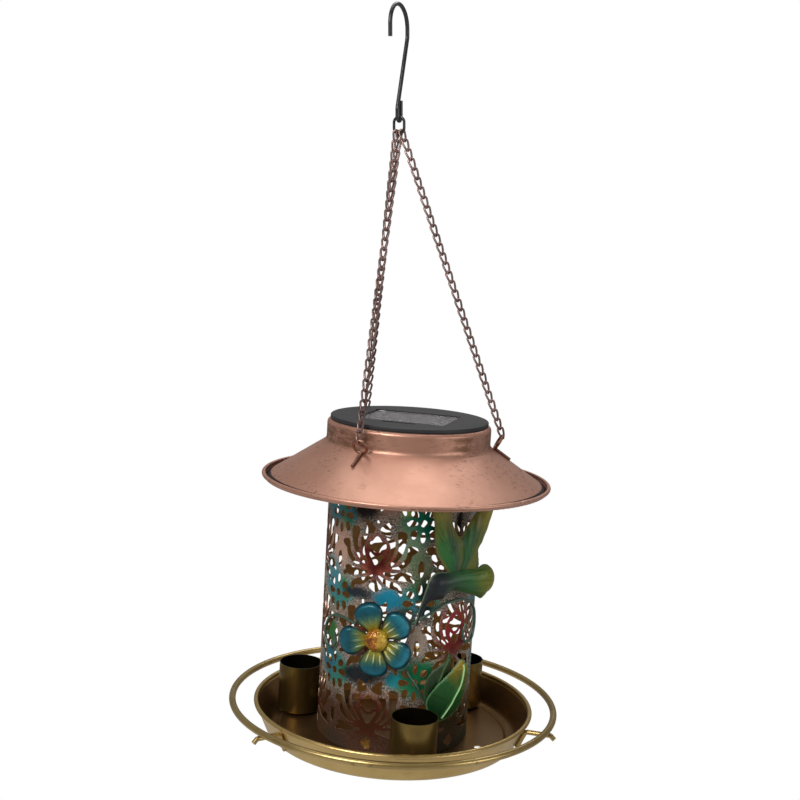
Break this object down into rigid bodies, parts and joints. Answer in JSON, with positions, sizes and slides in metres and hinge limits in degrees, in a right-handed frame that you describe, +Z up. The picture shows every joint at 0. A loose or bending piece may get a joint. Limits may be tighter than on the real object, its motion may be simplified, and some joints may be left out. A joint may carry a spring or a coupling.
{
  "type": "hanging bird feeder",
  "caption": "Hanging solar lantern bird feeder: tray with perch ring and cups, pierced screen with bird and flower, cone roof with lift-out light, chains and hook.",
  "frame": {"origin": "centre of the tray's foot, on the plane that the tray stands on when it is set down", "axes": "+Z up along the screen's axis, -Y towards the side with the bird, flower and leaves, +X to the right seen from there"},
  "size_m": [0.25, 0.2514, 0.5423],
  "materials": {
    "copper": "brushed copper lacquer over pressed steel",
    "antique_brass": "antique brass lacquer",
    "painted_screen": "grey-beige metallic ground with hand-sprayed colours",
    "chain_metal": "dull copper plate",
    "black_wire": "black enamel",
    "black_plastic": "fine matt moulding",
    "rubber": "soft black",
    "solar_blue": "amorphous silicon cell",
    "clear_resin": "clear cast resin",
    "board_green": "solder mask",
    "clear_led": "clear epoxy",
    "cell_wrap": "shrink sleeve",
    "contact_metal": "nickel plate",
    "zinc_steel": "zinc plate",
    "petal_blue": "translucent blue lacquer fading to yellow",
    "petal_yellow": "yellow and orange stippled lacquer",
    "bird_green": "translucent green lacquer, ochre edges",
    "leaf_green": "translucent green lacquer, yellow tip",
    "vine_green": "grey-green lacquer"
  },
  "bodies": {
    "hook": {"hanger_hook": "black_wire"},
    "ring": {"gather_ring": "black_wire"},
    "feeder": {"bird_body": "bird_green", "bird_posts": "zinc_steel", "bird_wings": "bird_green", "chain_front": "chain_metal", "chain_rear": "chain_metal", "chain_right": "chain_metal", "clip_nuts": "zinc_steel", "clip_screws": "zinc_steel", "cup_front": "antique_brass", "cup_left": "antique_brass", "cup_rear": "antique_brass", "cup_rivets": "zinc_steel", "filigree_screen": "painted_screen", "flower_centre": "petal_yellow", "flower_petals": "petal_blue", "flower_post": "zinc_steel", "flower_stem": "vine_green", "leaf_back": "leaf_green", "leaf_front": "leaf_green", "leaf_posts": "zinc_steel", "perch_bracket_left": "antique_brass", "perch_bracket_rear": "antique_brass", "perch_bracket_right": "antique_brass", "perch_ring": "antique_brass", "roof_anchor_front": "copper", "roof_anchor_rear": "copper", "roof_anchor_right": "copper", "roof_clips": "copper", "roof_shell": "copper", "screen_tabs": "painted_screen", "tab_nuts": "zinc_steel", "tab_screws": "zinc_steel", "tray_dish": "antique_brass", "vine_left": "vine_green", "vine_right": "vine_green"},
    "solar_unit": {"solar_lid": "black_plastic", "lid_gasket": "rubber", "solar_cell": "solar_blue", "cell_cover": "clear_resin", "switch_body": "black_plastic", "light_housing": "black_plastic", "flange_screws": "zinc_steel", "circuit_board": "board_green", "board_screws": "zinc_steel", "led": "clear_led", "battery": "cell_wrap", "battery_contacts": "contact_metal"},
    "switch_knob": {"switch_knob": "black_plastic"},
    "battery_door": {"battery_door": "black_plastic"}
  },
  "joints": [
    {"name": "ring_swing", "type": "hinge", "parent": "hook", "child": "ring", "pos_m": [-0.02054, 0, 0.45893], "axis": [0.3804, 0.9245, 0.0226], "range_deg": [-30, 30]},
    {"name": "feeder_swing", "type": "hinge", "parent": "ring", "child": "feeder", "pos_m": [-0.02, 0, 0.4498], "axis": [-0.9229, 0.3811, -0.0548], "range_deg": [-15, 15]},
    {"name": "solar_lift", "type": "slide", "parent": "feeder", "child": "solar_unit", "axis": [0, 0, 1], "range_m": [0, 0.012]},
    {"name": "switch_slide", "type": "slide", "parent": "solar_unit", "child": "switch_knob", "axis": [0.9681, -0.2504, 0], "range_m": [0, 0.003]},
    {"name": "battery_door_slide", "type": "slide", "parent": "solar_unit", "child": "battery_door", "axis": [1, 0, 0], "range_m": [0, 0.01]}
  ]
}
